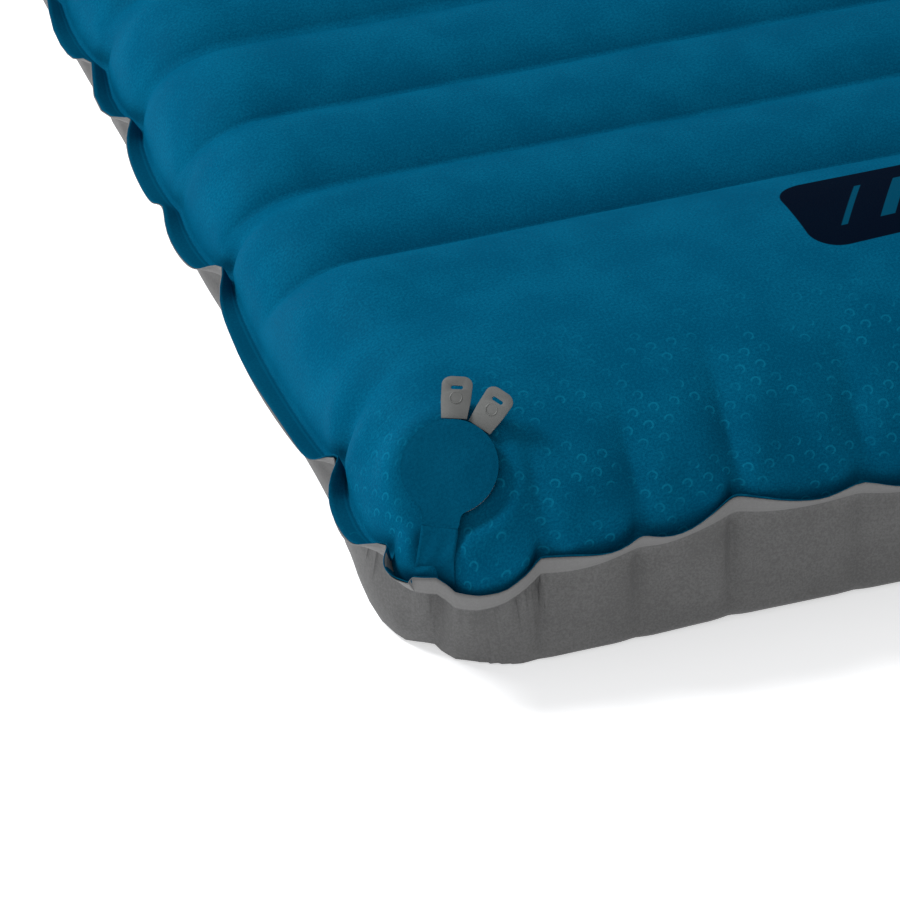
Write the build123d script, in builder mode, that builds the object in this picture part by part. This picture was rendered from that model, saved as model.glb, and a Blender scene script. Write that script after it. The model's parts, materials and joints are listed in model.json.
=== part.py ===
"""Camping air mattress with lateral air tubes, a raised head tube and a flat two-stage valve.

Frame: origin at the middle of the footprint on the ground, +Z up, +Y from the head end to the
foot end, +X across the pad. The head tube is at -Y, and the valve sits on its -X corner.
All lengths are millimetres.

The air shell is two sheets, blue above and grey below, welded to each other round the edge and to
a row of inner baffle webs. The valve has a base ring welded into the top sheet, a large deflate
cap that plugs into the base, and a small inflate cap that plugs into the deflate cap. A strap
from the corner of the seam holds both caps.
"""

import os
from math import cos, radians, sin

from build123d import *

# ---- Driving dimensions ----
pad_width = 640.0
pad_length = 1830.0
head_height = 110.0
crest_height = 89.0
seam_height = 46.0

flange_width = 9.0
sheet = 1.2
corner_radius = 30.0

web_count = 28
web_pitch = 58.0
head_tube_length = 185.0
weld_band = 6.0
groove_height = 80.0
ground_groove = 6.0
ground_run_in = 14.0
web_length = 500.0
web_thickness = 0.8
web_clearance = 0.1

head_crest_setback = 100.0
end_wall_radius = 13.0
side_wall_radius = 42.0

# ---- Sizes that follow from them ----
half_width = pad_width / 2 - flange_width
half_length = pad_length / 2 - flange_width
first_web_y = -half_length + head_tube_length
last_web_y = first_web_y + (web_count - 1) * web_pitch
web_places = [first_web_y + i * web_pitch for i in range(web_count)]
half_band = weld_band / 2

# ---- Valve sizes; heights are above the flat seat in the top sheet ----
valve_from_side = 35.0
valve_from_end = 37.0
valve_height = 78.0
valve_turn = 31.0
valve_lift = 50.0

seat_radius = 26.0
seat_depth = 1.6
seat_hole_radius = 16.0

base_bore_radius = 13.2
base_neck_radius = 15.7
base_flange_radius = 19.5
base_flange_thickness = 1.2
base_neck_top = 1.4

cap_radius = 19.3
deflate_plate_bottom = 1.7
deflate_plate_thickness = 1.1
deflate_plug_radius = 12.4
deflate_plug_wall = 1.2
deflate_plug_depth = 5.1
inflate_bore_radius = 8.0
inflate_boss_wall = 1.2
inflate_boss_depth = 1.4
ear_width = 10.0
ear_reach = 25.2

flap_radius = 9.6
flap_thickness = 0.5
flap_top = 0.0
flap_ear_width = 5.0
flap_ear_reach = 10.6

inflate_plate_bottom = 3.1
inflate_plate_thickness = 1.0
inflate_plug_radius = 7.6
inflate_plug_wall = 1.4
inflate_plug_depth = 2.2

cover_radius = 19.8
cover_thickness = 0.6
strap_width = 15.0
neck_start = 23.0
strap_gap = 0.3
strap_start = 26.4
strap_end = 48.5
hinge_above_strap = 0.05

tab_length = 17.5
tab_root_width = 10.4
tab_tip_width = 12.4
tab_thickness = 0.9
tab_root = 20.2
inflate_tab_droop = 4.0
deflate_tab_droop = -2.0
tab_corner = 3.4
slot_length = 5.0
slot_width = 1.6
slot_from_tip = 4.5
inflate_tab_turn = 4.0
deflate_tab_turn = -26.5


def finish(builder, name):
    """Labels a finished piece and writes its STEP file."""
    builder.part.label = name
    export_step(builder.part, f"parts/{name}.step")


def shell_side_profile(inset):
    """The pad seen from its side: head tube, lateral tubes, foot tube and the resting facets."""
    head, foot = -half_length + inset, half_length - inset
    crest = -half_length + head_crest_setback
    top, groove, ground = head_height - inset, groove_height - inset, inset
    band = half_band + 0.35 * inset
    turn = end_wall_radius
    EllipticalCenterArc(
        center=(crest, seam_height),
        x_radius=head_crest_setback - inset,
        y_radius=top - seam_height,
        start_angle=90,
        arc_size=90,
    )
    TangentArc((crest, top), (first_web_y - band, groove), tangent=(1, 0))
    for y in web_places:
        Line((y - band, groove), (y + band, groove))
    for y in web_places[:-1]:
        ThreePointArc(
            (y + band, groove),
            (y + web_pitch / 2, crest_height - inset),
            (y + web_pitch - band, groove),
        )
    TangentArc((foot, seam_height), (last_web_y + band, groove), tangent=(0, 1))

    low_band = half_band + 0.2 * inset
    low_run = low_band + ground_run_in
    low_groove = ground_groove + inset
    Line((foot, seam_height), (foot, turn))
    TangentArc((foot, turn), (half_length - turn, ground), tangent=(0, -1))
    Line((half_length - turn, ground), (last_web_y + low_run, ground))
    for y in web_places:
        Line((y + low_run, ground), (y + low_band, low_groove))
        Line((y + low_band, low_groove), (y - low_band, low_groove))
        Line((y - low_band, low_groove), (y - low_run, ground))
    for y in web_places[1:]:
        Line((y - low_run, ground), (y - web_pitch + low_run, ground))
    Line((first_web_y - low_run, ground), (-half_length + turn, ground))
    TangentArc((-half_length + turn, ground), (head, turn), tangent=(-1, 0))
    Line((head, turn), (head, seam_height))


def shell_end_profile(inset):
    """The pad seen from its head end: rounded sides and a crown that rises to the head tube's top."""
    side, top = -half_width + inset, head_height - inset
    turn = side_wall_radius
    shoulder = Bezier(
        (side, seam_height),
        (side, seam_height + 40),
        (side + 39, top - 10),
        (-half_width + 111, top - 5.5),
    )
    crown = Bezier(
        (-half_width + 111, top - 5.5),
        (-half_width + 175, top - 1.5),
        (-70, top),
        (0, top),
    )
    wall = Line((side, seam_height), (side, turn))
    hem = TangentArc((side, turn), (-half_width + turn, inset), tangent=(0, -1))
    base = Line((-half_width + turn, inset), (0, inset))
    mirror([crown, shoulder, wall, hem, base], about=Plane.YZ)


def shell_volume(inset):
    """The pad's outer form, or with an inset the air space inside its sheets."""
    with BuildPart() as volume:
        with BuildSketch(Plane.YZ):
            with BuildLine():
                shell_side_profile(inset)
            make_face()
        extrude(amount=half_width + 1, both=True)
        with BuildSketch(Plane.XZ):
            with BuildLine():
                shell_end_profile(inset)
            make_face()
        extrude(amount=half_length + 1, both=True, mode=Mode.INTERSECT)
        with BuildSketch(Plane.XY):
            RectangleRounded(2 * (half_width - inset), 2 * (half_length - inset), corner_radius - inset)
        extrude(amount=head_height + 1, mode=Mode.INTERSECT)
    return volume.part


# ---- The valve's own plane: x across it, y up the slope, z out of the pad ----
valve_out = Vector(
    -sin(radians(valve_turn)) * cos(radians(valve_lift)),
    -cos(radians(valve_turn)) * cos(radians(valve_lift)),
    sin(radians(valve_lift)),
)
valve = Plane(
    origin=(-half_width + valve_from_side, -half_length + valve_from_end, valve_height),
    x_dir=(cos(radians(valve_turn)), -sin(radians(valve_turn)), 0),
    z_dir=valve_out,
)
corner_cut = 200.0

# ---- Air shell ----
outer_form = shell_volume(0)
inner_form = shell_volume(sheet)

with BuildPart() as shell:
    add(outer_form)
    with BuildSketch(valve.offset(seat_depth)):
        Rectangle(corner_cut, corner_cut)
    extrude(amount=corner_cut, mode=Mode.SUBTRACT)
    with BuildSketch(valve):
        Circle(seat_radius)
    extrude(amount=corner_cut, mode=Mode.SUBTRACT)

with BuildPart() as air_space:
    add(inner_form)
    with BuildSketch(valve.offset(seat_depth - sheet)):
        Rectangle(corner_cut, corner_cut)
    extrude(amount=corner_cut, mode=Mode.SUBTRACT)
    with BuildSketch(valve.offset(-sheet)):
        Circle(seat_radius + sheet)
    extrude(amount=corner_cut, mode=Mode.SUBTRACT)


def weld_flange(low):
    """One sheet's share of the flat welded edge that runs round the pad."""
    with BuildPart() as flange:
        with BuildSketch(Plane.XY.offset(low)):
            RectangleRounded(pad_width, pad_length, corner_radius + flange_width)
            RectangleRounded(
                2 * half_width - sheet,
                2 * half_length - sheet,
                corner_radius - sheet / 2,
                mode=Mode.SUBTRACT,
            )
        extrude(amount=sheet)
    return flange.part


upper_flange = weld_flange(seam_height)
lower_flange = weld_flange(seam_height - sheet)

with BuildPart() as top_sheet:
    add(shell.part)
    add(air_space.part, mode=Mode.SUBTRACT)
    split(bisect_by=Plane.XY.offset(seam_height), keep=Keep.TOP)
    with BuildSketch(valve.offset(-2 * sheet)):
        Circle(seat_hole_radius)
    extrude(amount=3 * sheet, mode=Mode.SUBTRACT)
    add(upper_flange)
finish(top_sheet, "top_sheet")

with BuildPart() as bottom_sheet:
    add(shell.part)
    add(air_space.part, mode=Mode.SUBTRACT)
    split(bisect_by=Plane.XY.offset(seam_height), keep=Keep.BOTTOM)
    add(lower_flange)
finish(bottom_sheet, "bottom_sheet")

# ---- Inner baffle webs: an upright strip with a weld tab along its top and bottom ----
web_bottom = ground_groove + sheet + web_clearance
web_top = groove_height - sheet - web_clearance
for number, place in enumerate(web_places, start=1):
    with BuildPart() as baffle_web:
        with BuildSketch(Plane.YZ):
            with Locations((place, (web_bottom + web_top) / 2)):
                Rectangle(web_thickness, web_top - web_bottom)
            with Locations((place, web_bottom + web_thickness / 2), (place, web_top - web_thickness / 2)):
                Rectangle(weld_band, web_thickness)
        extrude(amount=web_length / 2, both=True)
    finish(baffle_web, f"baffle_web_{number:02d}")

# ---- Valve base: a ring welded under the seat, with a neck that stands through its hole ----
with BuildPart() as valve_base:
    with BuildSketch(valve.offset(-sheet - base_flange_thickness)):
        Circle(base_flange_radius)
        Circle(base_bore_radius, mode=Mode.SUBTRACT)
    extrude(amount=base_flange_thickness)
    with BuildSketch(valve.offset(-sheet)):
        Circle(base_neck_radius)
        Circle(base_bore_radius, mode=Mode.SUBTRACT)
    extrude(amount=sheet + base_neck_top)
finish(valve_base, "valve_base")

# ---- Deflate cap: the large lower plug, with the inflation bore through it ----
with BuildPart() as deflate_cap:
    with BuildSketch(valve.offset(deflate_plate_bottom)):
        Circle(cap_radius)
        with Locations((0, -(ear_reach + cap_radius) / 2 + 1)):
            Rectangle(ear_width, ear_reach - cap_radius + 2)
    extrude(amount=deflate_plate_thickness)
    with BuildSketch(valve.offset(deflate_plate_bottom)):
        Circle(deflate_plug_radius)
        Circle(deflate_plug_radius - deflate_plug_wall, mode=Mode.SUBTRACT)
    extrude(amount=-deflate_plug_depth)
    with BuildSketch(valve.offset(deflate_plate_bottom)):
        Circle(inflate_bore_radius + inflate_boss_wall)
    extrude(amount=-inflate_boss_depth)
    with BuildSketch(valve.offset(deflate_plate_bottom - inflate_boss_depth)):
        Circle(inflate_bore_radius)
    extrude(amount=inflate_boss_depth + deflate_plate_thickness, mode=Mode.SUBTRACT)
finish(deflate_cap, "deflate_cap")

# ---- One-way flap under the inflation bore, and the bar that holds its ear ----
with BuildPart() as check_flap:
    with BuildSketch(valve.offset(flap_top - flap_thickness)):
        Circle(flap_radius)
        with Locations((0, -flap_ear_reach / 2)):
            Rectangle(flap_ear_width, flap_ear_reach)
    extrude(amount=flap_thickness)
finish(check_flap, "check_flap")

clamp_start = inflate_bore_radius + inflate_boss_wall + strap_gap
with BuildPart() as flap_clamp:
    with BuildSketch(valve.offset(flap_top + strap_gap)):
        with Locations((0, -(clamp_start + flap_ear_reach) / 2)):
            Rectangle(flap_ear_width, flap_ear_reach - clamp_start)
    extrude(amount=deflate_plate_bottom - flap_top - strap_gap)
finish(flap_clamp, "flap_clamp")

# ---- Inflate cap: the small upper plug ----
with BuildPart() as inflate_cap:
    with BuildSketch(valve.offset(inflate_plate_bottom)):
        Circle(cap_radius)
    extrude(amount=inflate_plate_thickness)
    with BuildSketch(valve.offset(inflate_plate_bottom)):
        Circle(inflate_plug_radius)
        Circle(inflate_plug_radius - inflate_plug_wall, mode=Mode.SUBTRACT)
    extrude(amount=-inflate_plug_depth)
finish(inflate_cap, "inflate_cap")

# ---- Fabric cover, its neck and the strap down to the seam ----
cover_bottom = inflate_plate_bottom + inflate_plate_thickness
with BuildPart() as cap_cover:
    with BuildSketch(valve.offset(cover_bottom)):
        Circle(cover_radius)
        with Locations((0, -neck_start / 2)):
            Rectangle(strap_width, neck_start)
        fillet(vertices().group_by(Axis(valve.origin, valve.y_dir))[1], radius=4)
    extrude(amount=cover_thickness)
finish(cap_cover, "cap_cover")

strap_side = Plane(origin=valve.origin, x_dir=valve.y_dir, z_dir=valve.x_dir)
neck_low = deflate_plate_bottom + deflate_plate_thickness + strap_gap
with BuildPart() as strap_neck:
    with BuildSketch(strap_side):
        Polygon(
            (-neck_start - strap_gap, cover_bottom),
            (-neck_start - strap_gap, cover_bottom + cover_thickness),
            (-strap_start + strap_gap, neck_low + cover_thickness),
            (-strap_start + strap_gap, neck_low),
            align=None,
        )
    extrude(amount=strap_width / 2, both=True)
finish(strap_neck, "strap_neck")

strap_low = seat_depth + strap_gap
strap_bend = strap_start + 3.0
with BuildPart() as strap_anchor:
    with BuildSketch(strap_side):
        Polygon(
            (-strap_start - strap_gap, neck_low),
            (-strap_start - strap_gap, neck_low + cover_thickness),
            (-strap_bend, strap_low + cover_thickness),
            (-strap_end, strap_low + cover_thickness),
            (-strap_end, strap_low),
            (-strap_bend, strap_low),
            align=None,
        )
    extrude(amount=strap_width / 2, both=True)
finish(strap_anchor, "strap_anchor")


def pull_tab(name, turn, middle, droop):
    """A grey pull tab with a slot: its root is at the cap's rim, turned about the valve's axis."""
    across = valve.x_dir.rotate(Axis((0, 0, 0), valve.z_dir), turn)
    root = Plane(origin=valve.offset(middle).origin, x_dir=across, z_dir=valve.z_dir)
    root.origin = root.from_local_coords((0, tab_root, 0))
    lie = root.rotated((-droop, 0, 0))
    with BuildPart() as tab:
        with BuildSketch(lie.offset(-tab_thickness / 2)):
            Polygon(
                (-tab_root_width / 2, 0),
                (tab_root_width / 2, 0),
                (tab_tip_width / 2, tab_length),
                (-tab_tip_width / 2, tab_length),
                align=None,
            )
            fillet(vertices().group_by(Axis(lie.origin, lie.y_dir))[-1], radius=tab_corner)
            with Locations((0, tab_length - slot_from_tip)):
                SlotOverall(slot_length, slot_width, mode=Mode.SUBTRACT)
        extrude(amount=tab_thickness)
    finish(tab, name)
    print(name, "hinge at", [round(v / 1000, 5) for v in root.origin],
          "axis", [round(v, 5) for v in root.x_dir])


inflate_middle = inflate_plate_bottom + inflate_plate_thickness / 2
deflate_middle = deflate_plate_bottom + deflate_plate_thickness / 2
pull_tab("inflate_tab", inflate_tab_turn, inflate_middle, inflate_tab_droop)
pull_tab("deflate_tab", deflate_tab_turn, deflate_middle, deflate_tab_droop)

fold = cover_thickness + hinge_above_strap
for joint, place in {
    "inflate_cap": (0, -neck_start - strap_gap / 2, cover_bottom + fold),
    "deflate_cap": (0, -strap_start, neck_low + fold),
    "check_flap": (0, -flap_ear_reach, flap_top - flap_thickness / 2),
    "inflation port": (0, 0, deflate_plate_bottom + deflate_plate_thickness),
}.items():
    print(joint, "at", [round(v / 1000, 5) for v in valve.from_local_coords(place)])
print("across the valve", [round(v, 5) for v in valve.x_dir])
print("out of the valve", [round(v, 5) for v in valve.z_dir])
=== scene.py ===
"""Looks for a camping air mattress: fabric shell, edge weld, flat valve, pull tabs and strap."""

import json
import logging
import math
from dataclasses import dataclass, field
from enum import Enum

import bmesh
import bpy
import numpy as np
from mathutils import Matrix, Vector


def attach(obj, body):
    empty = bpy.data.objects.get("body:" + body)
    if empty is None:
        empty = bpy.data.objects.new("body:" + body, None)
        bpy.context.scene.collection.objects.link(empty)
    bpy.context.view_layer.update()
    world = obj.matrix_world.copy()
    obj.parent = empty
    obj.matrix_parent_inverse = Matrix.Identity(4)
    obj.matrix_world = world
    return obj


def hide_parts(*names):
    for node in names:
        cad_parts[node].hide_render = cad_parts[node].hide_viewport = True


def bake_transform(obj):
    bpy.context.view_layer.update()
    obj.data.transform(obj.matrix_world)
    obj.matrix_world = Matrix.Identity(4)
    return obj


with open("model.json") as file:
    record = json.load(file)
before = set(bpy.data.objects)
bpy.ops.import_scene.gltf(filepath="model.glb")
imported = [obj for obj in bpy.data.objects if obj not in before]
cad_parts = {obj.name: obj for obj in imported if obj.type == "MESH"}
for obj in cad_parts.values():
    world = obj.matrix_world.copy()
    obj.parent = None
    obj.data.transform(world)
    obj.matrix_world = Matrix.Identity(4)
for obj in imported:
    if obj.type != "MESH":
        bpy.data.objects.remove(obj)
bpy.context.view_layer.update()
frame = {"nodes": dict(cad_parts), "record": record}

logging.basicConfig(level=logging.INFO, format="%(message)s")
log = logging.getLogger("mattress")

PAD = "pad"


class Face(Enum):
    """The two sheets of the shell."""

    TOP = "top"
    BOTTOM = "bottom"


class Side(Enum):
    """The four edges of the pad."""

    HEAD = "head"
    FOOT = "foot"
    LEFT = "left"
    RIGHT = "right"


# ---------------------------------------------------------------- small mesh helpers


def deselect_all() -> None:
    """Leaves object mode with nothing selected."""
    if bpy.context.mode != "OBJECT":
        bpy.ops.object.mode_set(mode="OBJECT")
    bpy.ops.object.select_all(action="DESELECT")


def smoothstep(x: np.ndarray, low: float, high: float) -> np.ndarray:
    """A smooth ramp from 0 to 1.

    Args:
        x: Where to read the ramp.
        low: Where it is 0.
        high: Where it is 1.

    Returns:
        The ramp's value at each x.
    """
    t = np.clip((np.asarray(x, float) - low) / (high - low), 0.0, 1.0)
    return t * t * (3.0 - 2.0 * t)


def mesh_object(name: str, verts: np.ndarray, faces: list, smooth: bool = True) -> bpy.types.Object:
    """Makes a mesh object at the origin.

    Args:
        name: The piece's name.
        verts: Its points, in metres.
        faces: Its faces, as point indices.
        smooth: Whether it is smooth shaded.

    Returns:
        The new object.
    """
    mesh = bpy.data.meshes.new(name)
    mesh.from_pydata([tuple(v) for v in verts], [], faces)
    mesh.update()
    mesh.polygons.foreach_set("use_smooth", [smooth] * len(mesh.polygons))
    piece = bpy.data.objects.new(name, mesh)
    bpy.context.scene.collection.objects.link(piece)
    return piece


def apply_modifiers(piece: bpy.types.Object) -> None:
    """Applies every modifier on a piece.

    Args:
        piece: The object whose modifiers are applied in order.
    """
    deselect_all()
    bpy.context.view_layer.objects.active = piece
    piece.select_set(True)
    for modifier in list(piece.modifiers):
        bpy.ops.object.modifier_apply(modifier=modifier.name)


def give_thickness(piece: bpy.types.Object, thickness: float) -> None:
    """Turns a surface into a thin closed sheet, its wall added on the inner side.

    Args:
        piece: The surface.
        thickness: The sheet's thickness.
    """
    wall = piece.modifiers.new("wall", "SOLIDIFY")
    wall.thickness = thickness
    wall.offset = -1.0
    wall.use_even_offset = False
    apply_modifiers(piece)


# ---------------------------------------------------------------- the pad's shape


@dataclass(frozen=True)
class Pucker:
    """A gather in the edge weld, where the fabric draws in.

    Attributes:
        at: Where it is along its side, from the side's first corner.
        pull: How far the weld draws in.
        lift: How far the weld rises.
        depth: How deep the crease above it is.
        reach: How far the crease runs in over the pad.
        flip: How far up the weld's edge turns there, in degrees.
        lean: How far the crease leans along the side over its reach.
    """

    at: float
    pull: float = 0.003
    lift: float = 0.0
    depth: float = 0.003
    reach: float = 0.05
    flip: float = 70.0
    lean: float = 0.0


@dataclass(frozen=True)
class PadSize:
    """The mattress's main sizes, in metres.

    Attributes:
        half_width: Half the shell's width inside the edge weld.
        half_length: Half the shell's length inside the edge weld.
        seam: The edge weld's height.
        corner: The shell's corner radius at the edge weld.
        ground_corner: The corner radius of the walls below it.
        end_wall: How far the end walls tuck in from the edge weld to the ground.
        flange: The edge weld's width.
        first_web: Where the first weld line across the pad is.
        pitch: The distance between weld lines.
        webs: How many weld lines there are.
        head_round: How far the head tube's crest is from the head end.
        head_rise: How high that crest is above the edge weld.
        valley: How high the weld lines between the tubes are above the edge weld.
        tube_bulge: How far the other tubes stand up between their weld lines.
        foot_round: How far from the foot end the last tube starts to round off.
        foot_bulge: How far the last tube stands up.
        groove: How deep the grooves under the weld lines are on the underside.
    """

    half_width: float = 0.311
    half_length: float = 0.906
    seam: float = 0.046
    corner: float = 0.034
    ground_corner: float = 0.067
    end_wall: float = 0.0036
    flange: float = 0.009
    first_web: float = -0.721
    pitch: float = 0.058
    webs: int = 28
    head_round: float = 0.100
    head_rise: float = 0.064
    valley: float = 0.034
    tube_bulge: float = 0.0095
    foot_round: float = 0.040
    foot_bulge: float = 0.008
    groove: float = 0.006

    def web_lines(self) -> list[float]:
        """Where each weld line across the pad is."""
        return [self.first_web + i * self.pitch for i in range(self.webs)]

    def tube_height(self, y: np.ndarray) -> np.ndarray:
        """The height of the tubes above the edge weld, along the pad's middle.

        Args:
            y: Places along the pad.

        Returns:
            Heights above the edge weld.
        """
        crest = -self.half_length + self.head_round
        last = self.web_lines()[-1]
        out = np.empty_like(y)
        front = y < crest
        fall = (crest - y[front]) / self.head_round
        out[front] = self.head_rise * np.sqrt(np.clip(1 - fall**2, 0, 1))
        back = (y >= crest) & (y <= self.first_web)
        t = (y[back] - crest) / (self.first_web - crest)
        out[back] = self.valley + (self.head_rise - self.valley) * (1 - t**2.3) ** 0.9
        tubes = (y > self.first_web) & (y < last)
        phase = (y[tubes] - self.first_web) / self.pitch
        t = 2 * (phase - np.floor(phase)) - 1
        out[tubes] = self.valley + self.tube_bulge * (1 - np.abs(t) ** 2.4)
        foot = y >= last
        knee = self.half_length - self.foot_round
        t = np.clip((y[foot] - last) / (knee - last), 0, 1)
        rise = self.valley + self.foot_bulge * np.sin(t * math.pi / 2)
        end = np.sqrt(np.clip(1 - np.clip((y[foot] - knee) / self.foot_round, 0, 1) ** 2, 0, 1))
        out[foot] = rise * end
        return out

    def side_fall(self, x: np.ndarray, y: np.ndarray) -> np.ndarray:
        """How much of the tube height is left towards the pad's long sides.

        Args:
            x: Places across the pad.
            y: Places along the pad.

        Returns:
            A factor for each place, rows along y and columns along x.
        """
        d = self.half_width - np.abs(x)
        round_off = np.sqrt(np.clip(1 - (1 - np.clip(d / 0.045, 0, 1)) ** 2, 0, 1))
        crown = 0.69 + 0.31 * (1 - (1 - d / self.half_width) ** 2.2)
        head = 1 - smoothstep(y, -0.790, -0.735)
        return round_off[None, :] * (1 - head[:, None] * (1 - crown[None, :]))

    def depth_below(self, x: np.ndarray, y: np.ndarray) -> np.ndarray:
        """How far the underside is below the edge weld.

        Args:
            x: Places across the pad.
            y: Places along the pad.

        Returns:
            Depths, rows along y and columns along x.
        """
        ends = (self.half_length - np.abs(y))[:, None]
        sides = (self.half_width - np.abs(x))[None, :]
        turn = self.ground_corner
        away = np.hypot(np.clip(turn - sides, 0, None), np.clip(turn - ends, 0, None))
        inset = np.clip(turn - away, 0, None)
        bearing = np.arctan2(np.clip(turn - sides, 0, None), np.clip(turn - ends, 1e-6, None))
        share = smoothstep(bearing / (math.pi / 2), 0.15, 0.85)
        share = np.where(np.minimum(ends, sides) > turn, 0.0, share)
        end_wall = (1 - (1 - np.clip(inset / self.end_wall, 0, 1)) ** 3) ** (1 / 3)
        tuck = 0.006 + 0.038 * smoothstep(y, -0.870, -0.780)[:, None]
        side_wall = np.sqrt(1 - (1 - np.clip(inset / tuck, 0, 1)) ** 2)
        wall = end_wall + (side_wall - end_wall) * share
        groove = np.zeros_like(y)
        for web in self.web_lines():
            groove += self.groove * np.clip(1 - np.abs(y - web) / 0.015, 0, 1) ** 1.5
        return np.minimum(wall * self.seam, self.seam - groove[:, None] * smoothstep(sides, 0.0, 0.06))


def graded(low: float, high: float, step) -> np.ndarray:
    """Places from low to high, with the local spacing that step gives.

    Args:
        low: The first place.
        high: The last place.
        step: A function of place that returns the spacing wanted there.

    Returns:
        The places, the ends included.
    """
    fine = np.linspace(low, high, 6001)
    density = 1.0 / step(fine)
    total = np.concatenate([[0], np.cumsum((density[1:] + density[:-1]) / 2 * np.diff(fine))])
    count = max(2, int(round(total[-1])))
    return np.interp(np.linspace(0, total[-1], count + 1), total, fine)


def run_length(line: np.ndarray) -> np.ndarray:
    """How far along a line each of its points is.

    Args:
        line: The points, one a row.

    Returns:
        The distances from the first point.
    """
    return np.concatenate([[0], np.cumsum(np.linalg.norm(np.diff(line, axis=0), axis=1))])


@dataclass
class Edge:
    """The run of the edge weld: its puckers and how far its edge turns up.

    Attributes:
        size: The pad's sizes.
        inset: How far the long sides' weld sits in from the shell's edge.
        puckers: The gathers on each side.
    """

    size: PadSize
    inset: float = -0.0005
    puckers: dict[Side, list[Pucker]] = field(default_factory=dict)

    def __post_init__(self) -> None:
        """Lays out the gathers: the valve's corner listed one by one, the rest at uneven spacing."""
        rng = np.random.default_rng(7)
        head = [
            Pucker(0.0225, pull=0.003, lift=0.000, depth=0.0085, reach=0.030, flip=80, lean=-0.002),
            Pucker(0.061, pull=0.003, lift=0.001, depth=0.0062, reach=0.062, flip=84, lean=0.006),
            Pucker(0.102, pull=0.001, lift=0.002, depth=0.0048, reach=0.080, flip=66, lean=0.006),
            Pucker(0.143, pull=0.002, lift=0.002, depth=0.0060, reach=0.105, flip=84, lean=0.010),
            Pucker(0.197, pull=0.001, lift=0.002, depth=0.0042, reach=0.100, flip=66, lean=0.010),
        ]
        left = [
            Pucker(0.027, pull=0.006, lift=0.003, depth=0.0030, reach=0.026, flip=84, lean=0.004),
            Pucker(0.085, pull=0.007, lift=0.005, depth=0.0068, reach=0.074, flip=84, lean=0.012),
            Pucker(0.233, pull=0.006, lift=0.003, depth=0.0056, reach=0.074, flip=84, lean=0.004),
            Pucker(0.291, pull=0.002, lift=0.001, depth=0.0020, reach=0.040, flip=45),
        ]
        self.puckers = {
            Side.HEAD: self._scatter(rng, head, 0.245, 2 * self.size.half_width),
            Side.LEFT: self._scatter(rng, left, 0.358, 2 * self.size.half_length),
            Side.FOOT: self._scatter(rng, [], 0.030, 2 * self.size.half_width),
            Side.RIGHT: self._scatter(rng, [], 0.033, 2 * self.size.half_length),
        }

    @staticmethod
    def _scatter(rng: np.random.Generator, first: list, start: float, end: float) -> list:
        """Adds gathers at uneven spacing after the listed ones.

        Args:
            rng: The seeded source of the unevenness.
            first: The listed gathers.
            start: Where the scattered ones start.
            end: The side's length.

        Returns:
            All of the side's gathers.
        """
        out = list(first)
        at = start
        while at < end - 0.025:
            out.append(
                Pucker(
                    at,
                    pull=rng.uniform(0.002, 0.006),
                    lift=rng.uniform(0.0, 0.004),
                    depth=rng.uniform(0.002, 0.0042),
                    reach=rng.uniform(0.035, 0.065),
                    flip=rng.uniform(55, 84),
                    lean=rng.uniform(-0.006, 0.006),
                )
            )
            at += rng.uniform(0.045, 0.066)
        return out

    def rest_flip(self, side: Side, at: np.ndarray) -> np.ndarray:
        """How far up the weld's edge turns between its gathers, in degrees.

        Args:
            side: The side.
            at: Places along it.

        Returns:
            The angles.
        """
        if side is Side.HEAD:
            stops = [0, 0.012, 0.020, 0.025, 0.034, 0.042, 0.055, 0.062, 0.072, 0.082, 0.092]
            stops += [0.120, 0.132, 0.143, 0.152, 0.162, 0.178, 0.195, 0.210, 0.25, 0.64]
            turns = [62, 74, 80, 80, 78, 72, 74, 88, 80, 62, 44]
            turns += [46, 58, 84, 76, 60, 44, 52, 46, 45, 45]
            return np.interp(at, stops, turns)
        if side is Side.LEFT:
            return np.interp(at, [0, 0.012, 0.022, 0.04, 0.3, 0.5, 1.82], [62, 50, 12, 2, 4, 12, 20])
        return 30 + 14 * np.sin(at * 23.0) * np.cos(at * 9.0)

    def rise(self, side: Side, at: np.ndarray) -> np.ndarray:
        """How far the edge weld wanders up and down between its gathers.

        Args:
            side: The side.
            at: Places along it.

        Returns:
            Heights, in metres, above the weld's usual height.
        """
        if side is Side.HEAD:
            stops = [0, 0.010, 0.018, 0.022, 0.025, 0.034, 0.044, 0.055, 0.061, 0.068, 0.078, 0.095]
            stops += [0.112, 0.128, 0.145, 0.160, 0.185, 0.200, 0.230, 0.30, 0.64]
            drops = [-2.5, -3, -3.5, -7.5, -11, -12.5, -12, -7.5, -3.5, -3.2, -2.5, -0.5]
            drops += [1.0, 4.5, 7.0, 6.5, 5.5, 4.0, 2.0, 1.0, 0]
            return np.interp(at, stops, drops) / 1000
        if side is Side.LEFT:
            return np.interp(at, [0, 0.012, 0.03, 0.06, 0.12, 1.82], [-2.5, -2, -1, 0, 0, 0]) / 1000
        return 0.0015 * np.sin(at * 31.0)

    def gather(self, side: Side, at: np.ndarray, what: str, width: float, sharp: float = 1.2) -> np.ndarray:
        """Adds up one effect of a side's gathers.

        Args:
            side: The side.
            at: Places along it.
            what: The Pucker field that is added up.
            width: How far along the side each gather is felt.
            sharp: Below 2 gives a pointed gather, 2 a rounded one.

        Returns:
            The effect at each place.
        """
        out = np.zeros_like(at)
        for pucker in self.puckers[side]:
            out += getattr(pucker, what) * np.exp(-(np.abs(at - pucker.at) / width) ** sharp)
        return out

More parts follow.
